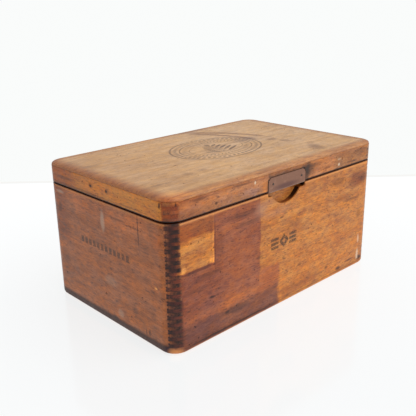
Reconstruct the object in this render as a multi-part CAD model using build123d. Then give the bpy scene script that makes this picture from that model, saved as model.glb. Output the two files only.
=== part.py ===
from build123d import *
import math
import os

# Lidded wooden storage box: finger-jointed walls that were glued up whole, rounded, and then
# sawn through into a body and a lid. Millimetres, +Z up, length along X, front towards -Y.
# The origin is on the underside of the box, at the middle of its plan.

# ---- Driving dimensions ----
LENGTH = 317.5          # 12 1/2 in, end to end
DEPTH = 203.0           # 8 in, front to back
BOTTOM_BOARD = 8.0      # full-footprint bottom board
FRAME_HEIGHT = 142.0    # height of the finger-jointed walls, body and lid together
TOP_LIP = 3.5           # edge of the top board, which laps over the walls
TOP_FIELD = 4.0         # thicker middle of the top board, which drops inside the walls
SIDE_WALL = 9.5         # front and back boards
END_WALL = 12.7         # left and right boards
CORNER_RADIUS = 17.0    # upright corners, in plan
FINGER_COUNT = 39       # fingers over the whole height of the walls
LID_FINGERS = 5         # how many of them are in the lid
SAW_CUT = 1.2           # what the saw took out between body and lid

RIM_EASE = 0.7          # worn arrises on both sides of the saw cut
BOTTOM_ROUND = 4.0      # rounded lower edge of the bottom board
TOP_ROUND_IN = 7.0      # rounded upper edge of the top board, measured inwards
TOP_ROUND_DOWN = 2.6    # the same, measured downwards
TOP_INSET = 0.4         # the top board has shrunk back this far from the wall faces

# Finger hold in the front board: a round scoop and a long shallow notch above it
SCOOP_X = -2.5
SCOOP_RADIUS = 26.75
SCOOP_DROP = 16.0       # lowest point below the rim
GRIP_DEPTH = 6.5        # how far scoop and notch go into the board
NOTCH_WIDTH = 59.2
NOTCH_DROP = 4.5
NOTCH_CORNER = 2.6

# Lift plate on the lid, let into a shallow recess
PLATE_X = -1.0
PLATE_WIDTH = 58.0
PLATE_RISE = 13.8       # above the lid's lower edge
PLATE_DROP = 1.7        # below the lid's lower edge
PLATE_THICKNESS = 1.2
PLATE_PROUD = 0.25      # how far its face stands out of the lid
PLATE_RETURN = 5.2      # lip turned in under the lid, measured from the plate's face
PLATE_CORNER = 5.5
PLATE_BEND = 1.7        # outside radius of the bend
RECESS_GAP = 0.8        # recess is wider than the plate by this on each side
PIN_SPACING = 44.8
PIN_RISE = 7.0          # pins above the lid's lower edge
PIN_HEAD_RADIUS = 1.3
PIN_HEAD_HEIGHT = 0.7
PIN_SHANK_RADIUS = 0.7
PIN_LENGTH = 7.5

# Batten that keeps the top board flat, nailed through both ends of the lid
BATTEN_Y = 3.2
BATTEN_WIDTH = 44.0
BATTEN_THICKNESS = 7.0
BATTEN_BEVEL = 2.0
BATTEN_NAIL_SPACING = 26.8

# Wire nails
NAIL_RADIUS = 0.9
NAIL_HEAD_RADIUS = 1.5
NAIL_HEAD = 0.5
NAIL_SET = 0.2          # heads are set this far below the wood
NAIL_LENGTH = 28.0
HOLE_CLEARANCE = 0.02
FRONT_NAIL_STATIONS = (-126.0, -42.0, 42.0, 126.0)
END_NAIL_STATIONS = (-45.0, 45.0)

# Butt hinges at the back, with the pin in line with the back of the box
HINGE_STATIONS = {"left": -98.0, "right": 98.0}
HINGE_LENGTH = 38.0
HINGE_OUT = 0.15        # pin centre behind the back face
LEAF_WIDTH = 8.3        # from the pin centre inwards
LEAF_THICKNESS = 1.1
KNUCKLE_COUNT = 5
KNUCKLE_RADIUS = 2.2
HINGE_PIN_RADIUS = 1.1
HINGE_PIN_HEAD = 0.5    # thickness of the thin head at each end of the pin
HINGE_PIN_HEAD_RADIUS = 1.75
PIN_CLEARANCE = 0.04
MOVING_GAP = 0.3
SCREW_SPACING = 13.0
SCREW_RADIUS = 1.1
SCREW_HEAD_RADIUS = 2.0
SCREW_LENGTH = 9.5
SCREW_SLOT = 0.6

# ---- Worked-out levels and planes ----
FINGER = FRAME_HEIGHT / FINGER_COUNT
FRAME_TOP = BOTTOM_BOARD + FRAME_HEIGHT
LID_EDGE = FRAME_TOP - LID_FINGERS * FINGER
RIM = LID_EDGE - SAW_CUT
HEIGHT = FRAME_TOP + TOP_LIP
RIGHT = LENGTH / 2
BACK = DEPTH / 2
INNER_RIGHT = RIGHT - END_WALL
INNER_BACK = BACK - SIDE_WALL
HINGE_Y = BACK + HINGE_OUT
HINGE_Z = (RIM + LID_EDGE) / 2
SLACK = 1.0             # cutters run past the wood by this much


def slab(x_range, y_range, z_range):
    """A plain block between two values on each axis."""
    sizes = [high - low for low, high in (x_range, y_range, z_range)]
    middles = [(high + low) / 2 for low, high in (x_range, y_range, z_range)]
    return Pos(*middles) * Box(*sizes)


def rod(start, direction, radius, length):
    """A round bar from a point, along a direction."""
    plane = Plane(origin=start, z_dir=direction)
    return extrude(plane * Circle(radius), length)


def outline(level, inset=0.0):
    """The box's plan with its rounded corners, at one height."""
    shape = RectangleRounded(LENGTH - 2 * inset, DEPTH - 2 * inset, CORNER_RADIUS - inset)
    return Plane.XY.offset(level) * shape


def rounded_block(low, high, inset=0.0):
    return extrude(outline(low, inset), high - low)


def lowest_edges(block):
    return block.faces().sort_by(Axis.Z)[0].edges()


def highest_edges(block):
    return block.faces().sort_by(Axis.Z)[-1].edges()


# ---- Walls ----
def body_envelope():
    block = rounded_block(BOTTOM_BOARD, RIM)
    return fillet(highest_edges(block), RIM_EASE)


def lid_envelope():
    block = rounded_block(LID_EDGE, FRAME_TOP)
    return fillet(lowest_edges(block), RIM_EASE)


def finger_ranges(parity, low, high):
    """Heights of the even or odd fingers, as far as they lie between two levels."""
    ranges = []
    for index in range(parity, FINGER_COUNT, 2):
        bottom = max(BOTTOM_BOARD + index * FINGER, low)
        top = min(BOTTOM_BOARD + (index + 1) * FINGER, high)
        if top - bottom > 0.01:
            ranges.append((bottom, top))
    return ranges


def side_board(envelope, low, high, side):
    """Front (side -1) or back (side +1) board: the end boards' odd fingers pass through it."""
    y_range = sorted((side * BACK, side * INNER_BACK))
    board = slab((-RIGHT, RIGHT), y_range, (low, high))
    gaps = []
    for z_range in finger_ranges(1, low, high):
        gaps.append(slab((-RIGHT, -INNER_RIGHT), y_range, z_range))
        gaps.append(slab((INNER_RIGHT, RIGHT), y_range, z_range))
    return (board - gaps) & envelope


def end_board(envelope, low, high, side):
    """Left (side -1) or right (side +1) board: the side boards' even fingers pass through it."""
    x_range = sorted((side * RIGHT, side * INNER_RIGHT))
    board = slab(x_range, (-BACK, BACK), (low, high))
    gaps = []
    for z_range in finger_ranges(0, low, high):
        gaps.append(slab(x_range, (-BACK, -INNER_BACK), z_range))
        gaps.append(slab(x_range, (INNER_BACK, BACK), z_range))
    return (board - gaps) & envelope


# ---- Finger hold and lift plate ----
def front_plane(x):
    """A sketch plane just in front of the box, X to the right and Y up."""
    return Plane(origin=(x, -BACK - SLACK, 0), x_dir=(1, 0, 0), z_dir=(0, -1, 0))


def grip_cutter():
    """The round scoop and the long notch that are sunk into the front board."""
    circle_level = RIM - SCOOP_DROP + SCOOP_RADIUS
    scoop = front_plane(SCOOP_X) * Pos(0, circle_level) * Circle(SCOOP_RADIUS)
    notch_shape = RectangleRounded(NOTCH_WIDTH, 2 * NOTCH_DROP, NOTCH_CORNER)
    notch = front_plane(PLATE_X) * Pos(0, RIM) * notch_shape
    depth = GRIP_DEPTH + SLACK
    return extrude(scoop, -depth) + extrude(notch, -depth)


def plate_outline(gap):
    """The lift plate's face, grown by a gap, as a sketch with its two upper corners rounded."""
    half = PLATE_WIDTH / 2 + gap
    top = LID_EDGE + PLATE_RISE + gap
    bottom = LID_EDGE - PLATE_DROP - SLACK
    shape = Pos(0, (top + bottom) / 2) * Rectangle(2 * half, top - bottom)
    return front_plane(PLATE_X) * fillet(shape.vertices().group_by(Axis.Y)[-1], PLATE_CORNER + gap)


def recess_cutter():
    floor = PLATE_THICKNESS - PLATE_PROUD
    return extrude(plate_outline(RECESS_GAP), -(floor + SLACK))


def lift_plate():
    """Sheet steel: a flat face in the recess and a lip turned in under the lid."""
    face = -BACK - PLATE_PROUD
    inside = face + PLATE_THICKNESS
    bottom = LID_EDGE - PLATE_DROP
    top = LID_EDGE + PLATE_RISE
    lip = bottom + PLATE_THICKNESS
    points = [
        (face, bottom),
        (face + PLATE_RETURN, bottom),
        (face + PLATE_RETURN, lip),
        (inside, lip),
        (inside, top),
        (face, top),
    ]
    profile = Plane.YZ.offset(PLATE_X - PLATE_WIDTH / 2) * make_face(Polyline(points, close=True))
    plate = extrude(profile, PLATE_WIDTH)
    long_edges = plate.edges().filter_by(Axis.X)
    outer_bend = long_edges.sort_by_distance((PLATE_X, face, bottom))[0]
    inner_bend = long_edges.sort_by_distance((PLATE_X, inside, lip))[0]
    plate = fillet(outer_bend, PLATE_BEND)
    plate = fillet(plate.edges().filter_by(Axis.X).sort_by_distance(inner_bend.center())[0],
                   PLATE_BEND - PLATE_THICKNESS)
    trim = extrude(plate_outline(0.0), -(PLATE_RETURN + 2 * SLACK))
    lip_corners = plate.edges().filter_by(Axis.Z).group_by(Axis.Y)[-1]
    return (fillet(lip_corners, PLATE_BEND) & trim) - plate_pin_holes()


def plate_pin_points():
    face = -BACK - PLATE_PROUD
    level = LID_EDGE + PIN_RISE
    return [(PLATE_X + side * PIN_SPACING / 2, face, level) for side in (-1, 1)]


def plate_pin_holes():
    radius = PIN_SHANK_RADIUS + HOLE_CLEARANCE
    length = PIN_LENGTH + HOLE_CLEARANCE
    return [rod(point, (0, 1, 0), radius, length) for point in plate_pin_points()]


def domed_head(point, direction, radius, height):
    """A low domed head standing on a face, with the given outward direction."""
    ball_radius = (radius ** 2 + height ** 2) / (2 * height)
    x, y, z = (p + d * (height - ball_radius) for p, d in zip(point, direction))
    ball = Pos(x, y, z) * Sphere(ball_radius)
    return ball & rod(point, direction, radius + SLACK, height + SLACK)


def lift_plate_pins():
    pins = []
    for point in plate_pin_points():
        shank = rod(point, (0, 1, 0), PIN_SHANK_RADIUS, PIN_LENGTH)
        pins.append(shank + domed_head(point, (0, -1, 0), PIN_HEAD_RADIUS, PIN_HEAD_HEIGHT))
    return Compound(children=pins)


# ---- Nails ----
def nail(point, direction):
    """A wire nail driven from a point on the wood's face, its head set just below it."""
    start = tuple(p + d * NAIL_SET for p, d in zip(point, direction))
    head = rod(start, direction, NAIL_HEAD_RADIUS, NAIL_HEAD)
    return head + rod(start, direction, NAIL_RADIUS, NAIL_LENGTH)


def nail_hole(point, direction):
    """The hole that such a nail leaves, open to the wood's face."""
    before = tuple(p - d * SLACK for p, d in zip(point, direction))
    head_depth = SLACK + NAIL_SET + NAIL_HEAD + HOLE_CLEARANCE
    head = rod(before, direction, NAIL_HEAD_RADIUS + HOLE_CLEARANCE, head_depth)
    length = SLACK + NAIL_SET + NAIL_LENGTH + HOLE_CLEARANCE
    return head + rod(before, direction, NAIL_RADIUS + HOLE_CLEARANCE, length)


def batten_nail_places():
    level = FRAME_TOP - TOP_FIELD - BATTEN_THICKNESS / 2
    offsets = (-BATTEN_NAIL_SPACING / 2, BATTEN_NAIL_SPACING / 2)
    return [((side * RIGHT, BATTEN_Y + offset, level), (-side, 0, 0))
            for side in (-1, 1) for offset in offsets]


def bottom_nail_places():
    side_line = BACK - SIDE_WALL / 2
    end_line = RIGHT - END_WALL / 2
    points = [(x, side * side_line, 0) for side in (-1, 1) for x in FRONT_NAIL_STATIONS]
    points += [(side * end_line, y, 0) for side in (-1, 1) for y in END_NAIL_STATIONS]
    return [(point, (0, 0, 1)) for point in points]


def nails(places):
    return Compound(children=[nail(*place) for place in places])


def nail_holes(places):
    return [nail_hole(*place) for place in places]


# ---- Flat boards ----
def bottom_board():
    board = rounded_block(0, BOTTOM_BOARD)
    board = fillet(lowest_edges(board), BOTTOM_ROUND)
    return board - nail_holes(bottom_nail_places())


def rounded_top_lip():
    """The top board's lip, with an elliptical round along its upper edge."""
    lip = rounded_block(FRAME_TOP, HEIGHT, TOP_INSET)
    edge_y = -BACK + TOP_INSET
    round_start = HEIGHT - TOP_ROUND_DOWN
    curve = EllipticalCenterArc((edge_y + TOP_ROUND_IN, round_start), TOP_ROUND_IN, TOP_ROUND_DOWN,
                                start_angle=90, arc_size=90)
    over = [curve @ 1, (edge_y - SLACK, round_start), (edge_y - SLACK, HEIGHT + SLACK),
            (edge_y + TOP_ROUND_IN, HEIGHT + SLACK), curve @ 0]
    waste = Plane.YZ * make_face(curve + Polyline(over))
    path = Plane.XY.offset(round_start) * RectangleRounded(
        LENGTH - 2 * TOP_INSET, DEPTH - 2 * TOP_INSET, CORNER_RADIUS - TOP_INSET)
    return lip - sweep(waste, path=path.wire())


def lid_top():
    """Top board: the lip over the walls and, below it, the field that fits between them."""
    field_range = (FRAME_TOP - TOP_FIELD, FRAME_TOP)
    field = slab((-INNER_RIGHT, INNER_RIGHT), (-INNER_BACK, INNER_BACK), field_range)
    return rounded_top_lip() + field


def lid_batten():
    under_side = FRAME_TOP - TOP_FIELD
    y_range = (BATTEN_Y - BATTEN_WIDTH / 2, BATTEN_Y + BATTEN_WIDTH / 2)
    batten = slab((-INNER_RIGHT, INNER_RIGHT), y_range, (under_side - BATTEN_THICKNESS, under_side))
    lower_long = batten.edges().filter_by(Axis.X).group_by(Axis.Z)[0]
    return chamfer(lower_long, BATTEN_BEVEL) - nail_holes(batten_nail_places())


# ---- Hinges ----
def hinge_span(x, shrink=0.0):
    return (x - HINGE_LENGTH / 2 + shrink, x + HINGE_LENGTH / 2 - shrink)


def leaf_levels(part):
    """The leaf lies flush in the rim of the body, or in the lower edge of the lid."""
    if part == "body":
        return (RIM - LEAF_THICKNESS, RIM)
    return (LID_EDGE, LID_EDGE + LEAF_THICKNESS)


def hinge_mortise(x, part):
    """Wood cut away for one leaf, with room for the knuckles to turn."""
    low, high = leaf_levels(part)
    if part == "body":
        high += SLACK
    else:
        low -= SLACK
    bed = slab(hinge_span(x), (HINGE_Y - LEAF_WIDTH, BACK + SLACK), (low, high))
    room = barrel(hinge_span(x, -HINGE_PIN_HEAD - MOVING_GAP), KNUCKLE_RADIUS + MOVING_GAP)
    return bed + room


def knuckle_ranges(x, part):
    """Body knuckles are the first, third and fifth; the lid has the second and fourth."""
    start = hinge_span(x)[0]
    step = HINGE_LENGTH / KNUCKLE_COUNT
    first = 0 if part == "body" else 1
    trim = 0.0 if part == "body" else MOVING_GAP
    return [(start + index * step + trim, start + (index + 1) * step - trim)
            for index in range(first, KNUCKLE_COUNT, 2)]


def barrel(span, radius):
    return rod((span[0], HINGE_Y, HINGE_Z), (1, 0, 0), radius, span[1] - span[0])


def screw_points(x, part):
    y = HINGE_Y - LEAF_WIDTH / 2 - KNUCKLE_RADIUS / 4
    level = RIM if part == "body" else LID_EDGE
    return [(x + step * SCREW_SPACING, y, level) for step in (-1, 0, 1)]


def screw_direction(part):
    return (0, 0, -1) if part == "body" else (0, 0, 1)


def screw_body(point, direction, clearance):
    """Countersunk head and plain shank, from the leaf's face into the wood."""
    plane = Plane(origin=point, z_dir=direction)
    head_depth = LEAF_THICKNESS
    wide = plane * Circle(SCREW_HEAD_RADIUS + clearance)
    narrow = plane.offset(head_depth) * Circle(SCREW_RADIUS + clearance)
    return loft([wide, narrow]) + rod(point, direction, SCREW_RADIUS + clearance, SCREW_LENGTH)


def hinge_screws(x, part):
    direction = screw_direction(part)
    screws = []
    for point in screw_points(x, part):
        slot = Pos(*point) * Box(2 * SCREW_HEAD_RADIUS, SCREW_SLOT, SCREW_SLOT)
        screws.append(screw_body(point, direction, 0.0) - slot)
    return Compound(children=screws)


def screw_holes(x, part):
    return [screw_body(point, screw_direction(part), HOLE_CLEARANCE) for point in screw_points(x, part)]


def hinge_leaf(x, part):
    """Flat leaf with its rolled knuckles; the other leaf's knuckles turn in the gaps."""
    other = "lid" if part == "body" else "body"
    leaf = slab(hinge_span(x), (HINGE_Y - LEAF_WIDTH, HINGE_Y), leaf_levels(part))
    for start, end in knuckle_ranges(x, other):
        room = (start - MOVING_GAP, end + MOVING_GAP)
        leaf -= barrel(room, KNUCKLE_RADIUS + MOVING_GAP)
    for span in knuckle_ranges(x, part):
        leaf += barrel(span, KNUCKLE_RADIUS)
    bore = barrel(hinge_span(x, -SLACK), HINGE_PIN_RADIUS + PIN_CLEARANCE)
    return leaf - bore - screw_holes(x, part)


def hinge_pin(x):
    """Plain pin with a thin head at each end, held between the outer knuckles."""
    pin = barrel(hinge_span(x), HINGE_PIN_RADIUS)
    left, right = hinge_span(x)
    for span in ((left - HINGE_PIN_HEAD, left), (right, right + HINGE_PIN_HEAD)):
        pin += barrel(span, HINGE_PIN_HEAD_RADIUS)
    return pin


# ---- Sub-parts ----
def wood_cuts(part):
    """What both hinges take out of one back board."""
    cuts = []
    for x in HINGE_STATIONS.values():
        cuts.append(hinge_mortise(x, part))
        cuts += screw_holes(x, part)
    return cuts


def body_parts():
    envelope = body_envelope()
    levels = (BOTTOM_BOARD, RIM)
    bottom_holes = nail_holes(bottom_nail_places())
    front = side_board(envelope, *levels, -1) - grip_cutter() - bottom_holes
    back = side_board(envelope, *levels, 1) - wood_cuts("body") - bottom_holes
    return {
        "body_front": front,
        "body_back": back,
        "body_left_end": end_board(envelope, *levels, -1) - bottom_holes,
        "body_right_end": end_board(envelope, *levels, 1) - bottom_holes,
        "bottom_board": bottom_board(),
        "bottom_nails": nails(bottom_nail_places()),
    }


def lid_parts():
    envelope = lid_envelope()
    levels = (LID_EDGE, FRAME_TOP)
    batten_holes = nail_holes(batten_nail_places())
    front = side_board(envelope, *levels, -1) - recess_cutter() - plate_pin_holes()
    return {
        "lid_front": front,
        "lid_back": side_board(envelope, *levels, 1) - wood_cuts("lid"),
        "lid_left_end": end_board(envelope, *levels, -1) - batten_holes,
        "lid_right_end": end_board(envelope, *levels, 1) - batten_holes,
        "lid_top": lid_top(),
        "lid_batten": lid_batten(),
        "batten_nails": nails(batten_nail_places()),
        "lift_plate": lift_plate(),
        "lift_plate_pins": lift_plate_pins(),
    }


def hinge_parts():
    parts = {}
    for name, x in HINGE_STATIONS.items():
        parts[f"{name}_hinge_body_leaf"] = hinge_leaf(x, "body")
        parts[f"{name}_hinge_lid_leaf"] = hinge_leaf(x, "lid")
        parts[f"{name}_hinge_pin"] = hinge_pin(x)
        parts[f"{name}_hinge_body_screws"] = hinge_screws(x, "body")
        parts[f"{name}_hinge_lid_screws"] = hinge_screws(x, "lid")
    return parts


os.makedirs("parts", exist_ok=True)
for node, shape in {**body_parts(), **lid_parts(), **hinge_parts()}.items():
    export_step(shape, f"parts/{node}.step")
print(f"rim {RIM:.2f}, lid edge {LID_EDGE:.2f}, hinge axis y {HINGE_Y:.2f} z {HINGE_Z:.2f}")
print(f"finger {FINGER:.3f}, overall {LENGTH} x {DEPTH} x {HEIGHT}")
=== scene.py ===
# %% [markdown]
# # A finger-jointed box with a hinged lid
# The object is a small antique box of thin boards. Its walls were finger-jointed and glued up
# whole, rounded on every corner, and then sawn through into a body and a lid. This lesson takes
# the measured parts as a fixed frame and gives every piece its worn shape and its finish.
# The frame is loaded first, because every later step reads its sizes from it.

# %% Load the frame
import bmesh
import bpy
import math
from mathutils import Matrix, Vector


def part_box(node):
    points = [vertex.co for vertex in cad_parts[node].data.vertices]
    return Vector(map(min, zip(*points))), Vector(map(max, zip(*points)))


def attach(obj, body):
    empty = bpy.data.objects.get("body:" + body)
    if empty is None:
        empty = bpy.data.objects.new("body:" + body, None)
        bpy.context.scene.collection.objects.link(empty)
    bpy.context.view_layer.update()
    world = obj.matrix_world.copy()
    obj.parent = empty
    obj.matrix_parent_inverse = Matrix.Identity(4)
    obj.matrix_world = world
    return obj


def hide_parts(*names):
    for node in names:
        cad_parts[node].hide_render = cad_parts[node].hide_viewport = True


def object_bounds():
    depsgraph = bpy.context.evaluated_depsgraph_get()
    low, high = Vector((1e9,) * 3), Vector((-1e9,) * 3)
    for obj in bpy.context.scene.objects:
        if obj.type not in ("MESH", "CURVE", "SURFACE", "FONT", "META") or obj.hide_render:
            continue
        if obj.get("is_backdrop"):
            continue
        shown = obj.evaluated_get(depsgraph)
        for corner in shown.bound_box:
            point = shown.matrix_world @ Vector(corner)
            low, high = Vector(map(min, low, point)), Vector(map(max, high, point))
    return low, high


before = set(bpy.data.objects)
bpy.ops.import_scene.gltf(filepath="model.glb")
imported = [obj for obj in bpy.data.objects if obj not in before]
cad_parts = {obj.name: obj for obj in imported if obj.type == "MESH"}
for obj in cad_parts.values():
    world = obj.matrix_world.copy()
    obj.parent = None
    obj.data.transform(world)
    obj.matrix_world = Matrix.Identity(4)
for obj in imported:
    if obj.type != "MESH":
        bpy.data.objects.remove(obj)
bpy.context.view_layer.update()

# %% [markdown]
# ## Working in millimetres
# Blender works in metres, while a box maker thinks in millimetres. The levels and planes that
# many steps need are read from the frame once: the rim of the body, the lower edge of the lid,
# the top of the walls, and how thick the walls are. Nothing is typed in twice.

MM = 0.001


def edge(node, side, axis):
    """One face of a piece's box in millimetres: side 0 is the low one, 1 the high one."""
    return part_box(node)[side]["xyz".index(axis)] / MM


RIGHT, BACK = edge("lid_right_end", 1, "x"), edge("lid_right_end", 1, "y")
INNER_RIGHT, INNER_BACK = edge("body_right_end", 0, "x"), edge("body_back", 0, "y")
RIM, LID_EDGE = edge("body_left_end", 1, "z"), edge("lid_left_end", 0, "z")
FRAME_TOP, HEIGHT = edge("lid_left_end", 1, "z"), edge("lid_top", 1, "z")
FLOOR_BOARD = edge("bottom_board", 1, "z")
PLATE_RIGHT = edge("lift_plate", 1, "x")
PLATE_MIDDLE = (edge("lift_plate", 0, "x") + PLATE_RIGHT) / 2
FINGERS = 39
PITCH = (FRAME_TOP - FLOOR_BOARD) / FINGERS
print(f"rim {RIM:.2f}, lid edge {LID_EDGE:.2f}, height {HEIGHT:.2f}, one finger {PITCH:.3f} mm")

# %% [markdown]
# ## A short way to write node trees
# Old wood needs many small nodes, and adding each by hand takes several lines. This class adds
# a node, fills its inputs with numbers or links, and hands back its output, so that a recipe
# reads like a sum. A name with a capital is one of the node's sockets, the others are settings.


# %% Node tree helper
class Tree:
    """Adds nodes to one node tree and joins them up."""

    def __init__(self, tree):
        self.tree = tree

    def put(self, socket, value):
        if isinstance(value, bpy.types.NodeSocket):
            self.tree.links.new(value, socket)
        else:
            socket.default_value = value

    def node(self, kind, *values, **named):
        made = self.tree.nodes.new(kind)
        for name, value in sorted(named.items(), key=lambda item: item[0][0].isupper()):
            if name[0].isupper():
                self.put(made.inputs[name.replace("_", " ")], value)
            else:
                setattr(made, name, value)
        for socket, value in zip(made.inputs, values):
            self.put(socket, value)
        return made

    def math(self, operation, *values, clamp=False):
        return self.node("ShaderNodeMath", *values, operation=operation, use_clamp=clamp).outputs[0]

    def vector(self, operation, *values):
        made = self.node("ShaderNodeVectorMath", *values, operation=operation)
        scalar = operation in ("LENGTH", "DISTANCE", "DOT_PRODUCT")
        return made.outputs["Value" if scalar else "Vector"]

    def split(self, value):
        return self.node("ShaderNodeSeparateXYZ", value).outputs

    def noise(self, place, scale, detail=2.0, roughness=0.5, output="Fac"):
        return self.node("ShaderNodeTexNoise", noise_dimensions="3D", Vector=place, Scale=scale,
                         Detail=detail, Roughness=roughness).outputs[output]

    def smooth(self, value, low, high, start=0.0, end=1.0):
        """A soft step from start to end while value goes from low to high."""
        return self.node("ShaderNodeMapRange", value, low, high, start, end,
                         interpolation_type="SMOOTHSTEP").outputs["Result"]

    def mix(self, factor, first, second, blend="MIX"):
        made = self.node("ShaderNodeMix", factor, data_type="RGBA", blend_type=blend)
        self.put(made.inputs[6], first)
        self.put(made.inputs[7], second)
        return made.outputs[2]

    def group(self, tree, **values):
        return self.node("ShaderNodeGroup", node_tree=tree, **values).outputs


def node_group(kind, name, *sockets):
    """A new node group with named sockets: its tree helper, its inputs and its outputs."""
    tree = bpy.data.node_groups.new(name, kind)
    for way, sort, labels in sockets:
        for label in labels.split():
            tree.interface.new_socket(label, in_out=way, socket_type="NodeSocket" + sort)
    helper = Tree(tree)
    return helper, helper.node("NodeGroupInput").outputs, helper.node("NodeGroupOutput").inputs


def shader_group(name, vectors, numbers="", results="Mask"):
    """A shader node group, with the names of its vector inputs, number inputs and outputs."""
    return node_group("ShaderNodeTree", name, ("INPUT", "Vector", vectors),
                      ("INPUT", "Float", numbers), ("OUTPUT", "Float", results))


# %% [markdown]
# ## Grain
# A board's fibres run one way. A noise texture whose space is squeezed along that way turns
# its round spots into long streaks, and the same noise cut across the board gives end grain.
# The group has six outputs: broad streaks, fine fibres, the growth-ring figure, which is made
# from the contour lines of a very broad noise, the soft clouds of an uneven stain, the mottle
# of an old varnish that has crazed, and a slow change of warmth, because old varnish is
# nowhere equally yellow.

# %% Group: wood fibres
STRETCH, MOTTLE_STRETCH = 0.9, 0.5

fibre, given, out = shader_group("Wood fibres", "Place Along Shift",
                                 results="Streaks Fibres Figure Clouds Mottle Warmth")
moved = fibre.vector("ADD", given["Place"], given["Shift"])
run, softer = (fibre.vector("MULTIPLY", moved, fibre.vector(
    "SUBTRACT", (1, 1, 1), fibre.vector("MULTIPLY", given["Along"], (stretch,) * 3)))
    for stretch in (STRETCH, MOTTLE_STRETCH))
slow = fibre.vector("ADD", softer, (300.0, 140.0, 220.0))
for name, place, scale, detail, roughness, low, high in (
        ("Streaks", run, 0.16, 4, 0.62, 0.30, 0.70), ("Fibres", run, 1.3, 3, 0.6, 0.28, 0.72),
        ("Clouds", moved, 0.021, 3, 0.55, 0.30, 0.70),
        ("Mottle", softer, 0.2, 8.0, 0.76, 0.34, 0.66),
        ("Warmth", slow, 0.07, 8.0, 0.72, 0.40, 0.60)):
    fibre.put(out[name], fibre.smooth(fibre.noise(place, scale, detail, roughness), low, high))
contour = fibre.math("FRACT", fibre.math("MULTIPLY", fibre.noise(run, 0.028, 1.2, 0.4), 13.0))
fibre.put(out["Figure"], fibre.math("POWER", contour, 3.0))
WOOD_FIBRES = fibre.tree
print("group", WOOD_FIBRES.name, "with", len(WOOD_FIBRES.nodes), "nodes")

# %% [markdown]
# ## Marks that have a place
# Stains, patches, bruises and stamped marks sit at known places on a board. Three small groups
# measure how far a point is from a block, from an oval or from an oval line, and turn that into
# a mask with a soft or a sharp border. Their Place input is given a slightly crumpled copy of
# the board's space wherever a border has to look ragged.

# %% Groups: block, oval and ring masks
block, given, out = shader_group("Block mask", "Place Centre Half", "Soft")
reach = block.vector("ABSOLUTE", block.vector("SUBTRACT", given["Place"], given["Centre"]))
over = block.split(block.vector("SUBTRACT", reach, given["Half"]))
furthest = block.math("MAXIMUM", block.math("MAXIMUM", over[0], over[1]), over[2])
inner = block.math("MULTIPLY", given["Soft"], -1.0)
block.put(out["Mask"], block.smooth(furthest, inner, given["Soft"], 1.0, 0.0))
BLOCK = block.tree


def share_of_radii(tree, given):
    """How far out a point lies, as a share of the oval's own radius that way."""
    offset = tree.vector("SUBTRACT", given["Place"], given["Centre"])
    return tree.vector("LENGTH", tree.vector("DIVIDE", offset, given["Radii"]))


oval, given, out = shader_group("Oval mask", "Place Centre Radii", "Soft")
oval.put(out["Mask"], oval.smooth(share_of_radii(oval, given),
                                  oval.math("SUBTRACT", 1.0, given["Soft"]),
                                  oval.math("ADD", 1.0, given["Soft"]), 1.0, 0.0))
OVAL = oval.tree

ring, given, out = shader_group("Ring mask", "Place Centre Radii", "Width")
off = ring.math("ABSOLUTE", ring.math("SUBTRACT", share_of_radii(ring, given), 1.0))
ring.put(out["Mask"], ring.smooth(off, 0.0, given["Width"], 1.0, 0.0))
RING = ring.tree
print("mask groups", BLOCK.name, OVAL.name, RING.name)

# %% [markdown]
# ## Specks, scratches and finger lines
# Old varnish is full of small dark specks, which are dirt in pores and dents. A Voronoi texture
# scatters them, and a random number in each cell throws most of them away. Scratches are the
# thin line where a stretched noise passes its middle value. The finger lines are the thin dark
# joints between the fingers: they repeat at the fingers' own pitch, only in the four corner
# columns where two boards meet.

# %% Groups: specks, scratches and finger lines
specks, given, out = shader_group("Specks", "Place", "Scale Share Size")
cells = specks.node("ShaderNodeTexVoronoi", feature="F1", Vector=given["Place"],
                    Scale=given["Scale"]).outputs
chosen = specks.math("LESS_THAN", specks.split(cells["Color"])[0], given["Share"])
dot = specks.smooth(cells["Distance"], specks.math("MULTIPLY", given["Size"], 0.4),
                    given["Size"], 1.0, 0.0)
specks.put(out["Mask"], specks.math("MULTIPLY", chosen, dot))
SPECKS = specks.tree

scratch, given, out = shader_group("Scratches", "Place Squeeze", "Width Share")
bend = scratch.noise(given["Place"], 0.03, 1.0, 0.5, "Color")
bent = scratch.vector("ADD", given["Place"], scratch.vector("MULTIPLY", bend, (9.0, 9.0, 9.0)))
stretched = scratch.vector("MULTIPLY", bent, given["Squeeze"])
line = scratch.math("ABSOLUTE", scratch.math("SUBTRACT", scratch.noise(stretched, 0.9, 0.0), 0.5))
thin = scratch.smooth(line, 0.0, given["Width"], 1.0, 0.0)
some = scratch.smooth(scratch.noise(given["Place"], 0.13),
                      scratch.math("SUBTRACT", 0.9, given["Share"]), 0.9)
scratch.put(out["Mask"], scratch.math("MULTIPLY", thin, some))
SCRATCHES = scratch.tree

joint, given, out = shader_group("Finger lines", "Place", "Width")
along_x, along_y, up = joint.split(joint.vector("ABSOLUTE", given["Place"]))
column = joint.math("MULTIPLY", joint.smooth(along_x, INNER_RIGHT - 0.1, INNER_RIGHT + 0.1),
                    joint.smooth(along_y, INNER_BACK - 0.1, INNER_BACK + 0.1))
steps = joint.math("DIVIDE", joint.math("SUBTRACT", up, FLOOR_BOARD), PITCH)
away = joint.math("MULTIPLY", joint.math("PINGPONG", steps, 0.5), PITCH)
line = joint.smooth(away, 0.0, given["Width"], 1.0, 0.0)
joint.put(out["Mask"], joint.math("MULTIPLY", line, column))
FINGER_LINES = joint.tree

# %% [markdown]
# ## Worn edges
# Hands, shelves and table tops rub a box first where it stands out: along the rims, along the
# top and the bottom, and down the corners. The group measures the distance to one level, frays
# it with a noise, and gives a mask that is strong at that level and gone a few millimetres away.

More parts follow.
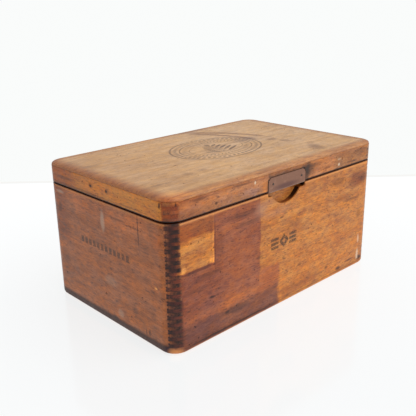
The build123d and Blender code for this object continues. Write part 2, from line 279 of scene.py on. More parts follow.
# %% Group: wear along a level
wear, given, out = shader_group("Edge wear", "Place", "Level Reach Fray")
distance = wear.math("ABSOLUTE", wear.math("SUBTRACT", wear.split(given["Place"])[2],
                                           given["Level"]))
fray = wear.math("SUBTRACT", wear.noise(given["Place"], 0.22, 3.0, 0.6), 0.5)
shifted = wear.math("ADD", distance, wear.math("MULTIPLY", fray, given["Fray"]))
wear.put(out["Mask"], wear.smooth(shifted, 0.0, given["Reach"], 1.0, 0.0))
EDGE_WEAR = wear.tree

# %% [markdown]
# ## A board's material
# All boards share one recipe, and differ in the way their fibres run, in their tones and in
# what has happened to them. End grain shows where the surface faces along the fibres. It
# drinks more stain and more dirt, so it gets a darker tone. Each board then adds its own
# washes, and the last step makes the shader. Tones are written as on a paint chart, with three
# numbers up to 255. A tint with four numbers is a gain, where 1 changes nothing.


# %% Paint-chart tones
def tone(red, green, blue):
    """A paint-chart colour, 0 to 255, as the linear colour that shaders use."""
    linear = []
    for value in (red, green, blue):
        share = value / 255
        linear.append(share / 12.92 if share < 0.04045 else ((share + 0.055) / 1.055) ** 2.4)
    return (*linear, 1.0)


def darker(colour, share):
    return (*(share * part for part in colour[:3]), 1.0)


ALONG_X, ALONG_Y = (1.0, 0.0, 0.0), (0.0, 1.0, 0.0)
GOLD, DEEP_GOLD, END_GRAIN, DARK_END = (224, 148, 62), (152, 84, 38), (178, 114, 60), (156, 96, 62)
BARE_WOOD = tone(196, 146, 98)
print("bare wood", [round(part, 3) for part in BARE_WOOD])

# %% [markdown]
# ### Places on a face
# A mark is placed as a craftsperson would measure it: on the front from its left edge and its
# foot, on the left end from its back edge and its foot, and on the top from its left and front
# edges. Each face turns such a pair of numbers into a point of the box's own space, and a pair
# of half sizes into a block that reaches a little way into the wood.

# %% Faces
DEEP = 12.0
FACES = {"front": (lambda a, b: (a - RIGHT, -BACK, b), lambda a, b: (a, DEEP, b)),
         "left": (lambda a, b: (-RIGHT, BACK - a, b), lambda a, b: (DEEP, a, b)),
         "top": (lambda a, b: (a - RIGHT, b - BACK, HEIGHT), lambda a, b: (a, b, DEEP))}
print("the middle of the lid's front edge is at", FACES["front"][0](RIGHT, LID_EDGE))

# %% [markdown]
# ### The shared recipe
# The first coat blends a dark and a light tone by the grain. A board's shade then changes with
# each wash that is laid over it, in the order of the calls. Faces that look into the box were
# never stained, so they keep the bare wood's tone whatever happened outside.

# %% A board's first coat and its washes
MOTTLE, FIBRES, CLOUDS = 0.46, 0.36, 0.16
WARM, COOL = (1.05, 0.94, 0.68, 1.0), (0.97, 1.02, 1.32, 1.0)


class Board(Tree):
    """One board's material while it is being made: its colour, relief and roughness so far."""

    def __init__(self, name, along, light, dark, end, shift, face="front", grain=0.28, hue=1.0):
        self.start(name)
        self.face, end = face, tone(*end)
        self.squeeze = tuple(0.22 if share else 1.0 for share in along)
        self.scratched = tuple(0.05 if share else 0.8 for share in along)
        crumple = self.noise(self.place, 0.11, 4.0, 0.6, "Color")
        self.crumple = self.vector("SUBTRACT", crumple, (0.5, 0.5, 0.5))
        fibres = self.group(WOOD_FIBRES, Place=self.place, Along=along, Shift=shift)
        self.streaks, self.fibres, self.mottle = (fibres[n] for n in ("Streaks", "Fibres", "Mottle"))
        amount = 0.5
        for part, weight in ((self.mottle, MOTTLE), (self.streaks, grain),
                             (self.fibres, FIBRES), (fibres["Clouds"], CLOUDS)):
            amount = self.math("MULTIPLY_ADD", self.math("SUBTRACT", part, 0.5), weight, amount)
        amount = self.math("MULTIPLY_ADD", fibres["Figure"], -0.1, amount, clamp=True)
        self.colour = self.mix(amount, tone(*dark), tone(*light))
        warmth = self.mix(fibres["Warmth"], COOL, WARM)
        self.colour = self.mix(hue, self.colour, warmth, "MULTIPLY")
        self.ends = self.smooth(self.facing(along), 0.45, 0.9)
        self.colour = self.mix(self.ends, self.colour,
                               self.mix(self.fibres, darker(end, 0.6), end))
        self.height = self.math("ADD", self.math("MULTIPLY", self.fibres, 0.35),
                                self.math("MULTIPLY", self.streaks, 0.65))
        self.rough = self.math("MULTIPLY_ADD", self.mottle, 0.16, 0.34)

    def start(self, name):
        """An empty material, and the place in millimetres that its patterns read."""
        self.material = bpy.data.materials.new(name)
        self.material.use_nodes = True
        Tree.__init__(self, self.material.node_tree)
        self.tree.nodes.clear()
        coordinates = self.node("ShaderNodeTexCoord")
        self.place = self.vector("MULTIPLY", coordinates.outputs["Object"], (1 / MM,) * 3)
        self.normal = coordinates.outputs["Normal"]

    def facing(self, direction):
        """1 where the surface looks along a direction, either way, and 0 where it looks across."""
        return self.math("ABSOLUTE", self.vector("DOT_PRODUCT", self.normal, direction))

    def bare_inside(self):
        """Lays the bare wood's tone over the faces that look into the box."""
        across_x, across_y, up = self.split(self.vector("ABSOLUTE", self.place))
        room = self.both(self.math("LESS_THAN", across_x, INNER_RIGHT + 0.3),
                         self.math("LESS_THAN", across_y, INNER_BACK + 0.3))
        levels = self.both(self.math("GREATER_THAN", up, FLOOR_BOARD - 4.0),
                           self.math("LESS_THAN", up, HEIGHT - 1.5))
        pale = self.mix(self.streaks, darker(BARE_WOOD, 0.72), BARE_WOOD)
        self.colour = self.mix(self.both(room, levels), self.colour, pale)

    def ragged(self, amount):
        """The board's space, crumpled by some millimetres, for borders that aren't straight."""
        return self.vector("ADD", self.place,
                           self.vector("MULTIPLY", self.crumple, (2 * amount,) * 3))

    def mask(self, tree, ragged=0.0, **values):
        place = self.ragged(ragged) if ragged else self.place
        return self.group(tree, Place=place, **values)["Mask"]

    def block(self, centre, half, soft=1.0, ragged=0.0):
        return self.mask(BLOCK, ragged, Centre=centre, Half=half, Soft=soft)

    def oval(self, centre, radii, soft=0.4, ragged=0.0):
        return self.mask(OVAL, ragged, Centre=centre, Radii=radii, Soft=soft)

    def patch(self, a, b, wide, high, soft=1.0, ragged=0.0, shape="block", face=None):
        """A block or an oval at a place on the board's own face, with its two half sizes."""
        place, size = FACES[face or self.face]
        return getattr(self, shape)(place(a, b), size(wide, high), soft, ragged)

    def both(self, first, second):
        return self.math("MULTIPLY", first, second)

    def but_not(self, first, second):
        return self.math("MULTIPLY", first, self.math("SUBTRACT", 1.0, second))

    def either(self, *masks):
        found = masks[0]
        for mask in masks[1:]:
            found = self.math("MAXIMUM", found, mask)
        return found

    def wash(self, mask, tint, strength=1.0, blend="MULTIPLY"):
        """Lays a tint over the board where the mask is."""
        tint = tone(*tint) if len(tint) == 3 else tint
        self.colour = self.mix(self.math("MULTIPLY", mask, strength), self.colour, tint, blend)

    def stains(self, *rows):
        """Blocks: place, half sizes, softness and raggedness, then the tint and its strength."""
        for *shape, tint, strength in rows:
            self.wash(self.patch(*shape), tint, strength)

    def marks(self, tint, *rows, blend="MULTIPLY", soft=0.5, ragged=1.0):
        """Small ovals of one tint, each with its place, its half sizes and its strength."""
        for *shape, strength in rows:
            self.wash(self.patch(*shape, soft, ragged, "oval"), tint, strength, blend)

    def finish(self, coat=0.05, coat_roughness=0.35, relief=0.12, metallic=0.0, gloss=0.3,
               bare=True):
        """Joins colour, roughness and relief to the shader, and returns the material."""
        if bare:
            self.bare_inside()
        bump = self.node("ShaderNodeBump", Distance=relief * MM, Height=self.height)
        shader = self.node("ShaderNodeBsdfPrincipled", Base_Color=self.colour,
                           Roughness=self.rough, Coat_Weight=coat, Coat_Roughness=coat_roughness,
                           Metallic=metallic, Normal=bump.outputs["Normal"],
                           Specular_IOR_Level=gloss)
        self.node("ShaderNodeOutputMaterial", Surface=shader.outputs["BSDF"])
        print("material", self.material.name, "with", len(self.tree.nodes), "nodes")
        return self.material


# %% [markdown]
# ## Dirt, wear and painted shade that every wall gets
# The same things happened to all the walls. Dirt settled in the finger joints, in the pores and
# in every dent. Along the saw cut between body and lid the colour is darkened with painted
# shade of the gap and some grime, and just under it the body's rim was rubbed pale. One
# function adds them all, so that the boards match where they meet, because each group reads
# the same space.

# %% Wear, dirt and painted shade of the walls
SAW_CUT = (RIM + LID_EDGE) / 2


def dirty(board, specks=0.75, fleck=0.8):
    """Smears and flecks along the grain, specks, scratches, and dark bottoms in the dents."""
    squeezed = board.vector("MULTIPLY", board.ragged(2.0), board.squeeze)
    board.wash(board.smooth(board.noise(squeezed, 0.4, 5.0, 0.7), 0.56, 0.70), (176, 150, 150), 0.6)
    flecks = board.noise(squeezed, 0.75, 3.0, 0.6)
    board.wash(board.smooth(flecks, 0.56, 0.68), (158, 152, 182), fleck)
    board.wash(board.smooth(flecks, 0.32, 0.44, 1.0, 0.0), (1.26, 1.04, 0.8, 1.0), fleck)
    spots = board.mask(SPECKS, 0.9, Scale=0.16, Share=0.09, Size=0.22)
    board.wash(spots, (120, 88, 84), specks)
    board.wash(board.mask(SPECKS, 0.5, Scale=0.42, Share=0.12, Size=0.34), (168, 128, 112), specks)
    lines = board.mask(SCRATCHES, Squeeze=board.scratched, Width=0.03, Share=0.36)
    board.wash(lines, (140, 104, 84), 0.6)
    board.height = board.math("MULTIPLY_ADD", spots, -0.5, board.height)
    knock = board.node("ShaderNodeAttribute", attribute_name="knock")
    board.wash(knock.outputs["Fac"], (130, 96, 80), 0.8)


def saw_cut_shade_and_grime(board, arris):
    """Painted shade of the gap and grime along the cut between body and lid, and the pale arris
    rubbed into the rim under it.
    """
    if arris:
        rubbed = board.mask(EDGE_WEAR, Level=RIM - 1.3, Reach=2.0, Fray=1.8)
        board.wash(rubbed, (224, 150, 84), arris, "MIX")
        board.rough = board.math("MULTIPLY_ADD", rubbed, 0.14, board.rough)
    # The dark band along the cut is painted shade of the gap between body and lid, with some grime;
    # the rim faces inside the gap get a lighter painted shade.
    cut = board.mask(EDGE_WEAR, Level=SAW_CUT + 0.35, Reach=2.2, Fray=0.6)
    rim_face = board.smooth(board.math("ABSOLUTE", board.split(board.normal)[2]), 0.6, 0.95)
    dark = board.smooth(cut, 0.12, 0.42)
    board.wash(board.but_not(dark, rim_face), (70, 54, 48), 0.96)
    board.wash(board.both(dark, rim_face), (132, 106, 90), 0.9)


def age_wall(board, arris=0.0, joints=0.55):
    """Everything that every wall board has."""
    lines = board.mask(FINGER_LINES, Width=0.55)
    board.wash(lines, (104, 76, 60), joints)
    board.height = board.math("MULTIPLY_ADD", lines, -1.0, board.height)
    dirty(board)
    saw_cut_shade_and_grime(board, arris)


# %% [markdown]
# ## The history of the front
# Something wet once stained the left part of the front red-brown, with a border that steps to
# the right towards the bottom. A label kept a rectangle near the upper left corner clean. The
# stain ran over the edge of the bottom board as well, so one function tells the whole history
# to both pieces, and the border continues from one to the other.


# %% Stains on the front
def front_history(board):
    """The red-brown stain in its three steps, without the part that the label kept clean."""
    main = board.patch(57.5, 95, 60, 60, 1.2, 3.6)
    step = board.patch(70, 26, 77, 26, 2.4, 5.0)
    label = board.patch(31, 104.5, 22.5, 23.0, 0.8, 1.6)
    board.wash(board.but_not(main, label), (204, 180, 236))
    board.wash(board.but_not(step, main), (222, 198, 240))
    board.stains((70, 8, 76, 19, 4.0, 5.0, (202, 206, 240), 1.0),
                 (26, 36, 34, 34, 14.0, 4.0, (226, 222, 248), 1.0))
    return label


front = Board("Front board wood", ALONG_X, GOLD, DEEP_GOLD, END_GRAIN, (13, 5, 40))
label = front_history(front)
age_wall(front, 0.75)
print("the front's material has", len(front.tree.nodes), "nodes so far")

# %% [markdown]
# ### The label's shadow and the faded hold
# The clean rectangle is darker near the top, and its right edge and lower right corner are
# rubbed pale. Around the finger hold the varnish has gone dull and pinkish. The walls of the
# hold are cut across the grain, and painted shade darkens them, most on the walls that face
# left, away from the light.

# %% Label, finger hold and small marks
front.wash(front.both(label, front.patch(33, 121, 24, 10, 4.0, 9.0)), (204, 174, 164))
front.stains((235, 26, 88, 34, 8.0, 6.0, (1.0, 0.95, 0.82, 1), 1.0))
front.marks((1.5, 1.6, 1.6, 1.0), (50.5, 84, 3.0, 5.0, 1.0), (52.6, 102, 1.2, 22, .7),
            (15, 84, 3.0, 3.6, .9))
front.marks((150, 120, 128), (54.6, 100, 1.0, 26, .5), (34, 79.5, 24, 1.6, .8),
            (60, 96, 6, 14, .35))
front.marks((170, 124, 100), (118, 116, 8, 6, .5), (138, 108, 22, 4, .35), (126, 120, 12, 5, .3),
            blend="MIX", soft=0.7, ragged=4.0)
# Painted shade in the finger hold: its walls are darkened, and those that face left, away from the
# light, are darkest.
hold = front.block((PLATE_MIDDLE, -BACK + 4.5, RIM), (34, 3.6, 18), 0.3)
front.wash(front.but_not(hold, front.facing((0, 1, 0))), (150, 116, 92), 0.9)
hold_shade_facing_left = front.smooth(front.split(front.normal)[0], -0.55, -0.15, 1.0, 0.0)
front.wash(front.both(hold, hold_shade_facing_left), (78, 62, 56), 0.97)
front.marks((104, 78, 76), (50, 46, 4, 1.3, .9), (70, 22, 3, 1.6, .8), (84, 21, 16, 4, .45),
            (150, 100, 3, 1.1, .7), (154, 54, 2, 1.4, .5), (182, 37, 3, 1.4, .6),
            (232, 17, 3, 1.6, .6), (256, 8.4, 4, 2, .9), (278, 12, 9, 1, .7),
            (300, 9.5, 5, 1.6, .95), (248, 117, 12, 4, .45), (92, 118, 20, 3, .4),
            (100, 108, 16, 2, .4), (116, 66, 5, 2, .5), (78, 5, 60, 1.3, .8),
            (220, 5, 80, 0.9, .45), (275, 90, 16, 1.6, .5), (292, 68, 4, 5, .4),
            (46, 71, 14, 2.5, .35), (30, 60, 12, 2, .3))
front.marks((176, 142, 124), (286, 112, 17, 9, .8), (296, 112, 8, 5, .6), (262, 96, 22, 4, .5),
            (190, 14, 40, 4, .5), (168, 88, 12, 5, .4), soft=0.7, ragged=3.0)
front.marks((226, 196, 166), (295, 35, 1.7, 5, .6), (295, 14, 2.4, 7, .7), (293, 4, 3, 2, .6),
            blend="MIX", ragged=1.6)
# A pale vertical line near the right corner is worn wood with a painted highlight; the second mark
# is a small pale spot.
front.marks((1.35, 1.4, 1.3, 1.0), (304, 70, 1.1, 62, .5), (74, 18, 2, 1.3, .9))

# %% [markdown]
# ### Dark fingers at the front left corner
# At this corner the end grain of the end board's fingers has turned nearly black, and the
# fingers of the front board between them are dark brown. The dirt is heavy near the rim and
# near the foot, thin in between, and it stops where the corner turns to the end. The roots of
# the joints show there as a row of dark dots.


# %% Corner dirt
def corner_dirt(board):
    """Dark fingers on the front side of the corner, and dark joint roots on its end side."""
    for z, wide, high, soft, ragged, tint, strength in (
            (108, 4.4, 23, 1.6, 2.0, (150, 122, 126), 1.0),
            (70, 4.2, 18, 2.0, 2.0, (206, 180, 172), 1.0),
            (30, 5.4, 26, 1.8, 2.4, (172, 150, 156), 0.9)):
        board.wash(board.patch(7.6, z, wide, high, soft, ragged, face="front"), tint, strength)
    from_end = board.math("ADD", board.split(board.ragged(1.6))[0], RIGHT)
    fingers = board.both(board.ends, board.smooth(from_end, 9.6, 13.4, 1.0, 0.0))
    fingers = board.both(fingers, board.smooth(from_end, 0.6, 3.4))
    some = board.smooth(board.noise(board.place, 0.3, 3.0, 0.6), 0.36, 0.62, 0.3, 1.0)
    board.wash(board.both(fingers, some), (84, 86, 100), 0.95)
    roots = board.patch(193.6, 60, 0.8, 56, 0.5, 0.4, face="left")
    board.wash(board.both(board.mask(FINGER_LINES, 0.3, Width=1.3), roots), (80, 66, 62), 0.9)
    board.wash(board.patch(194.4, 65, 0.35, 80, 0.4, 0.3, face="left"), (130, 104, 92), 0.6)


corner_dirt(front)
print("corner dirt on", front.material.name)

# %% [markdown]
# ### The worker's sign on the front
# A stencil leaves a thin, broken film of ink. The diamond is a block mask whose space is
# turned by 45 degrees, and the bars are plain block masks. The wood's own fibres break the
# ink up, because a stencilled film wears off the hard streaks first.


# %% Stamped sign
def ink(board, mask, strength, tint):
    """Ink that the wood's fibres and specks have worn through."""
    worn = board.smooth(board.noise(board.place, 0.9, 3.0, 0.6), 0.30, 0.50)
    board.wash(board.both(mask, worn), tint, strength)


SIGN_X, SIGN_Z = 154.5 - RIGHT, 73.5
turned = front.node("ShaderNodeMapping", vector_type="POINT", Rotation=(0, math.radians(45), 0),
                    Vector=front.vector("SUBTRACT", front.place, (SIGN_X, 0, SIGN_Z)))
diamond, hole = (front.group(BLOCK, Place=turned.outputs["Vector"], Centre=(0, -BACK, 0),
                             Half=(half, DEEP * 9, half), Soft=0.4)["Mask"] for half in (5.4, 2.0))
bars = [front.patch(x, SIGN_Z + rise, 6.0, 1.5, 0.4)
        for x in (140.0, 169.0) for rise in (-4.6, 0.0, 4.6)]
ink(front, front.either(*bars, front.but_not(diamond, hole)), 0.92, (100, 106, 112))
FRONT_WOOD = front.finish()

# %% [markdown]
# ## The end boards and the back
# The left end is redder and darker than the front, with a whitish smear, a few knocks and a
# row of faded dashes. The right end and the back are not so well known, so they get the same
# aged finish, with their own tones and seeds, and nothing that would look like a special event.

# %% Material: left end
left = Board("Left end wood", ALONG_Y, (188, 112, 60), (110, 61, 30), DARK_END, (70, 11, 3), "left")
left.stains((110, 118, 60, 10, 6.0, 3.0, (1.18, 1.1, 0.95, 1), 0.8),
            (10, 110, 26, 40, 10.0, 3.0, (220, 204, 196), 0.9))
age_wall(left, 0.3)
left.marks((176, 150, 130), (101, 110, 3.2, 10, .55), (24, 124, 7, 1.6, .5),
           (122, 17, 4.5, 4, .35), (108, 48, 10, 5, .25), blend="MIX", ragged=1.5)
left.marks((96, 70, 66), (158, 115, .9, 15, .7), (168, 14, 2, 3, .7), (163, 13, 1, 3, .6),
           (22, 106, 3, 5, .5), (24, 50, 8, 8, .4), (112, 9, 4, 2, .6), (125, 118, 14, 1.2, .5),
           (150, 116, 12, .9, .5), (176, 60, 3, 1.5, .5), (60, 44, 12, 3, .25), (34, 88, 6, 3, .3))
left.marks((232, 160, 80), (181, 65, 1.6, 1.0, 0.9), blend="MIX", soft=0.4, ragged=0.0)
left.marks((1.2, 1.0, 0.7, 1), (185, 112, 5, 9, 0.6), soft=0.6, ragged=2.0)
for index in range(12):
    ink(left, left.patch(62 + 7.0 * index, 81, 2.3, 3.4, 0.6, 0.6), 0.85, (112, 116, 100))
corner_dirt(left)
left.stains((100, 8.5, 120, 1.4, 0.9, 0.8, (120, 96, 90), 0.7))
LEFT_WOOD = left.finish()

# %% [markdown]
# ### Right end and back
# Dirt from the table creeps up the foot, and the upright corners are darker than the flat
# faces, where a cloth never quite reaches. How far a point is towards a corner is its distance
# from the box's middle, with the length and the depth brought to the same scale.

# %% Materials: right end and back
right = Board("Right end wood", ALONG_Y, (206, 132, 72), (154, 90, 46), END_GRAIN, (210, 31, 17))
rear = Board("Back board wood", ALONG_X, (212, 138, 72), (156, 92, 44), END_GRAIN, (340, 7, 21))
for board in (right, rear):
    age_wall(board, 0.4)
    board.wash(board.block((0, 0, 9), (400, 400, 2.6), 2.2, 1.4), (150, 118, 104), 0.7)
    towards_corner = board.vector("LENGTH", board.vector("MULTIPLY", board.place,
                                                         (1 / RIGHT, 1 / BACK, 0)))
    board.wash(board.smooth(towards_corner, 1.34, 1.4), (176, 146, 132), 0.7)
RIGHT_WOOD, BACK_WOOD = right.finish(), rear.finish()

# %% [markdown]
# ## The lid's boards
# The lid was sawn from the same walls, so it has the same fingers and the same tones, but
# hands have rubbed it more. Its front turns red-brown near the left corner, and grime sits
# around the lift plate, where fingers pull. A dark outline round the plate and the darkened
# recess under it are painted shadow in the plate's recess.

# %% Material: lid front
lid_front = Board("Lid front wood", ALONG_X, (212, 140, 80), (158, 94, 50), END_GRAIN, (13, 5, 40))
lid_front.stains((0, 141, 40, 20, 34.0, 2.0, (236, 216, 204), 1.0))
age_wall(lid_front, 0.0, 0.35)


def edge_streaks(board, squeeze, low):
    """Long thin streaks along the grain, for edges that are rubbed through in places."""
    run = board.vector("MULTIPLY", board.ragged(1.0), (squeeze, 1, 1))
    return board.smooth(board.noise(run, 0.3, 4.0, 0.65), low, 0.6)


upper = lid_front.patch(70, 148.6, 90, 1.8, 1.2, 1.2)
lid_front.wash(lid_front.both(edge_streaks(lid_front, 0.12, 0.46), upper), (170, 130, 130), 0.35)
plate_x = PLATE_MIDDLE + RIGHT
lid_front.stains((60, 135, 60, 6, 3.0, 3.0, (0.74, 0.86, 1.4, 1.0), 1.0),
                 (275, 139, 36, 10, 5.0, 3.0, (0.76, 0.78, 0.68, 1.0), 1.0),
                 (plate_x + 3, LID_EDGE + 6, 33, 11.0, 3.0, 4.0, (128, 126, 132), 0.9))
lid_front.marks((118, 114, 120), (PLATE_RIGHT + RIGHT + 5, 143, 12, 6, 0.85), soft=0.7, ragged=4.0)
# The second block below is a painted shadow in the gap round the lift plate.
lid_front.stains((5, 138, 7.5, 10, 2.4, 2.4, (222, 190, 170), 1.0),
                 (plate_x - 0.9, LID_EDGE + 4.6, PLATE_RIGHT - PLATE_MIDDLE + 0.3, 8.4, 0.4, 0.3,
                  (76, 62, 56), 0.9))
# Painted shadow on the floor and walls of the plate's recess.
plate_recess_shade = lid_front.block((PLATE_MIDDLE, -BACK + 1.5, LID_EDGE + 5), (31, 1.1, 11), 0.2)
lid_front.wash(plate_recess_shade, (80, 66, 60), 0.8)
lid_front.marks((96, 72, 70), (57, 138, 1.6, 1.4, .8), (10, 147, .8, 3, .9), (36, 147, 8, 1.5, .5),
                (90, 148, 14, 1, .5), (205, 146, 12, 2, .35), (272, 136, 9, 1, .6),
                (224, 138, 7, 1.2, .4), (290, 146, 12, 3, .35), (303, 137, 1.6, 1.2, .9),
                (303, 144.5, 1.6, 1.2, .9))
lid_front.marks((226, 206, 178), (109, 146, 1.0, 1.6, .9), (247, 137, 1.6, 1.6, .7),
                (247, 143, 3, 1.0, .3), blend="MIX")
LID_FRONT_WOOD = lid_front.finish()

# %% [markdown]
# ### The lid's ends and back
# The left end of the lid is golden, with a few dark dashes of dirt, and turns darker at the back
# and at the front corner. The other two boards repeat the walls that they were sawn from, so
# they take the same tones and the same shift of the grain.

# %% Materials: lid ends and lid back
lid_left = Board("Lid left end wood", ALONG_Y, (216, 137, 44), (162, 92, 28), (186, 116, 66),
                 (70, 11, 3), "left")
lid_left.stains((10, 141, 40, 20, 36.0, 2.0, (186, 148, 140), 1.0))
age_wall(lid_left, 0.0, 0.35)
lid_left.stains((198.5, 141, 7.0, 20, 1.2, 1.0, (196, 150, 132), 1.0))
lid_left.marks((96, 72, 66), (190, 146.5, .9, 2.6, .95), (36, 141, 20, 1.6, .5),
               (60, 134, 60, 1.6, .5), (112, 143, 3, 3, .4), (85, 143, 3.5, 3, .5),
               (150, 135, 20, 1.0, .4))
lid_right = Board("Lid right end wood", ALONG_Y, (208, 136, 74), (156, 92, 46), END_GRAIN,
                  (210, 31, 17))
lid_rear = Board("Lid back wood", ALONG_X, (212, 138, 72), (156, 92, 44), END_GRAIN, (340, 7, 21))
age_wall(lid_right)
age_wall(lid_rear)
LID_LEFT_WOOD, LID_RIGHT_WOOD, LID_BACK_WOOD = (b.finish() for b in (lid_left, lid_right, lid_rear))

# %% [markdown]
# ## The top board
# The top has faded to a dull tan with a soft sheen, and its edges are worn down to orange
# wood. One large and very soft block makes the back right paler and bluer, painted sheen with
# some dust, and another warms the left side.

# %% Material: top board
top = Board("Top board wood", ALONG_X, (228, 182, 128), (184, 136, 84), (232, 182, 126), (5, 90, 8),
            "top", 0.5, 0.4)
# The first block is painted sheen with some dust: it makes the back right paler and bluer.
top.stains((250, 150, 80, 80, 60.0, 4.0, (1.0, 1.07, 1.22, 1.0), 1.0),
           (20, 120, 40, 110, 40.0, 4.0, (240, 234, 230), 1.0))
top_x, top_y, _ = top.split(top.vector("ABSOLUTE", top.ragged(1.6)))
by_ends = top.smooth(top_x, RIGHT - 19, RIGHT - 1)
by_sides = top.smooth(top_y, BACK - 14, BACK - 5)
top.wash(by_ends, (0.64, 0.40, 0.22, 1.0))
top.wash(by_sides, (0.84, 0.64, 0.46, 1.0))
top.wash(top.both(edge_streaks(top, 0.1, 0.47), top.either(by_ends, by_sides)), (190, 150, 136), 0.5)
top.marks((1.35, 1.16, 0.8, 1), (13, 9, 16, 11, 0.9), ragged=2.0)

# %% [markdown]
# ### Water marks and dirt on the top
# A drop that ran over the top left a dark line at its border. A wide ring mask gives such a
# line, and only a part of the ring is kept, so that it starts and ends without a trace.


# %% Water marks
def top_ring(x, y, long, wide, width, ragged):
    """The line of an oval on the top. The oval is so tall that only its plan counts."""
    return top.mask(RING, ragged, Centre=FACES["top"][0](x, y), Radii=(long, wide, 9000),
                    Width=width)


reached = top.patch(226, 152, 34, 46, 10.0, 3.0)
for *oval_shape, strength in ((128, 84, 98, 124, .06, .9), (122, 70, 126, 142, .05, .85)):
    top.wash(top.both(top_ring(*oval_shape, 3.4), reached), (178, 156, 154), strength)
top.marks((166, 146, 148), (237, 90, 7, 5, .7), (243, 75, 5, 5, .6), (240, 26, 8, 10, .6),
          (246, 34, 6, 8, .4), (18, 142, 8, 5, .4), (68, 50, 6, 4, .35), (88, 50, 5, 4, .35),
          (215, 112, 16, 8, .45), (24, 42, 9, 2, .5), (135, 163, 4, 2, .5),
          (200, 194, 24, 4, .5), (254, 46, 6, 3, .35), soft=0.6, ragged=2.5)
top.marks((1.14, 1.14, 1.0, 1), (249, 107, 4, 3.5, 0.9), ragged=1.5)
dirty(top, 0.5, 0.25)

# %% [markdown]
# ### The stamped oval
# Ring masks make the border lines. The dots between them repeat by angle: the angle around
# the oval is cut into equal steps, and the middle of each step is inked. The sprig is a stem
# and pairs of leaves, each leaf a turned oval, so its whole shape comes from one loop.

# %% Oval with a sprig
OVAL_LEFT, OVAL_FRONT, OVAL_LONG, OVAL_WIDE = 162.5, 107.5, 58.5, 43.5
OVAL_X, OVAL_Y = OVAL_LEFT - RIGHT, OVAL_FRONT - BACK
LEAF_PAIRS, DOT_COUNT = 5, 52


def turned_oval(board, x, y, angle, long, wide):
    """An oval mark on the top with its long axis at an angle."""
    turn = board.node("ShaderNodeMapping", vector_type="TEXTURE", Vector=board.place,
                      Location=(x, y, 0), Rotation=(0, 0, math.radians(angle)))
    return board.group(OVAL, Place=turn.outputs["Vector"], Centre=(0, 0, HEIGHT),
                       Radii=(long, wide, DEEP), Soft=0.14)["Mask"]


def oval_line(inset, width):
    """A line that follows the oval, a little inside its outer border."""
    return top_ring(OVAL_LEFT, OVAL_FRONT, OVAL_LONG - inset, OVAL_WIDE - inset, width, 0.25)


across, deep, _ = top.split(top.vector("SUBTRACT", top.place, (OVAL_X, OVAL_Y, HEIGHT)))
angle = top.math("ARCTAN2", top.math("DIVIDE", deep, OVAL_WIDE),
                 top.math("DIVIDE", across, OVAL_LONG))
beat = top.math("PINGPONG", top.math("MULTIPLY", angle, DOT_COUNT / math.tau), 0.5)
dots = top.both(oval_line(5.4, 0.07), top.smooth(beat, 0.14, 0.3))
sprig = [turned_oval(top, OVAL_X, OVAL_Y - 1, 90, 17, 0.9),
         turned_oval(top, OVAL_X, OVAL_Y + 15, 90, 5, 2.0)]
for step in range(LEAF_PAIRS):
    for way in (-1, 1):
        sprig.append(turned_oval(top, OVAL_X + way * (13 - 1.8 * step), OVAL_Y - 13 + 6 * step,
                                 90 - way * 66, 12 - 1.8 * step, 1.8))
ticks = top.both(oval_line(16.5, 0.13), top.smooth(beat, 0.3, 0.4))
stamp = top.either(oval_line(0, 0.036), oval_line(11.0, 0.03), oval_line(22, 0.02), dots, ticks,
                   *sprig)
ink(top, stamp, 1.0, (140, 126, 120))
TOP_WOOD = top.finish(0.2, 0.4, gloss=0.5)

# %% [markdown]
# ## Bottom board and batten
# The bottom board's edge shows all round the foot of the box. Its front edge shares the front's
# history, its ends are dark end grain, and it is bright where the corners and the lowest edge
# are worn. The batten inside the lid was never finished, so it keeps a bare wood's tone.

# %% Materials: bottom board and batten
base = Board("Bottom board wood", ALONG_X, GOLD, DEEP_GOLD, (86, 58, 50), (13, 5, 40))
front_history(base)
dirty(base)
base.wash(base.smooth(base.facing((0, 0, 1)), 0.8, 0.95), (210, 190, 180), 0.9)
base.wash(base.block((0, 0, FLOOR_BOARD), (400, 400, 0.3), 0.5, 0.4), (120, 92, 84), 0.7)
base.marks((104, 78, 76), (78, 5.2, 62, 1.4, .85), (225, 5, 90, 0.9, .4), (256, 8.0, 4, 2, .8),
           (300, 8.5, 6, 1.8, .9))
worn_foot = base.block((0, -BACK, 0.6), (400, 8, 1.6), 1.0, 0.8)
base.wash(worn_foot, (226, 142, 78), 0.7, "MIX")
worn_corner = base.oval((3 - RIGHT, -BACK, 3), (9, 8, 4.4), 0.5, 2.4)
base.wash(worn_corner, (214, 138, 76), 0.85, "MIX")
base.rough = base.math("ADD", base.rough, 0.12)
BOTTOM_WOOD = base.finish()

strip = Board("Batten wood", ALONG_X, (206, 160, 108), (150, 106, 66), (120, 86, 60), (400, 12, 6),
              grain=0.5, hue=0.3)
strip.rough = strip.math("ADD", strip.rough, 0.2)
BATTEN_WOOD = strip.finish(0.0, bare=False)

# %% [markdown]
# ## Old steel
# The lift plate, the hinges, the screws and the nails are plain steel that has browned with
# age. Rust is rough and not metallic, while rubbed steel is smooth and bright, so one group
# gives a rust mask that every steel uses with its own amount. The mask then drives colour,
# roughness and the metallic value at the same time.

# %% Group: rust
rust, given, out = shader_group("Rust", "Place", "Amount", "Rust Grain")
threshold = rust.math("SUBTRACT", 0.72, rust.math("MULTIPLY", given["Amount"], 0.5))
rust.put(out["Rust"], rust.smooth(rust.noise(given["Place"], 0.16, 5.0, 0.6),
                                  rust.math("SUBTRACT", threshold, 0.2),
                                  rust.math("ADD", threshold, 0.2)))
rust.put(out["Grain"], rust.noise(given["Place"], 1.6, 4.0, 0.6))
RUST = rust.tree
print("group", RUST.name, "with", len(RUST.nodes), "nodes")
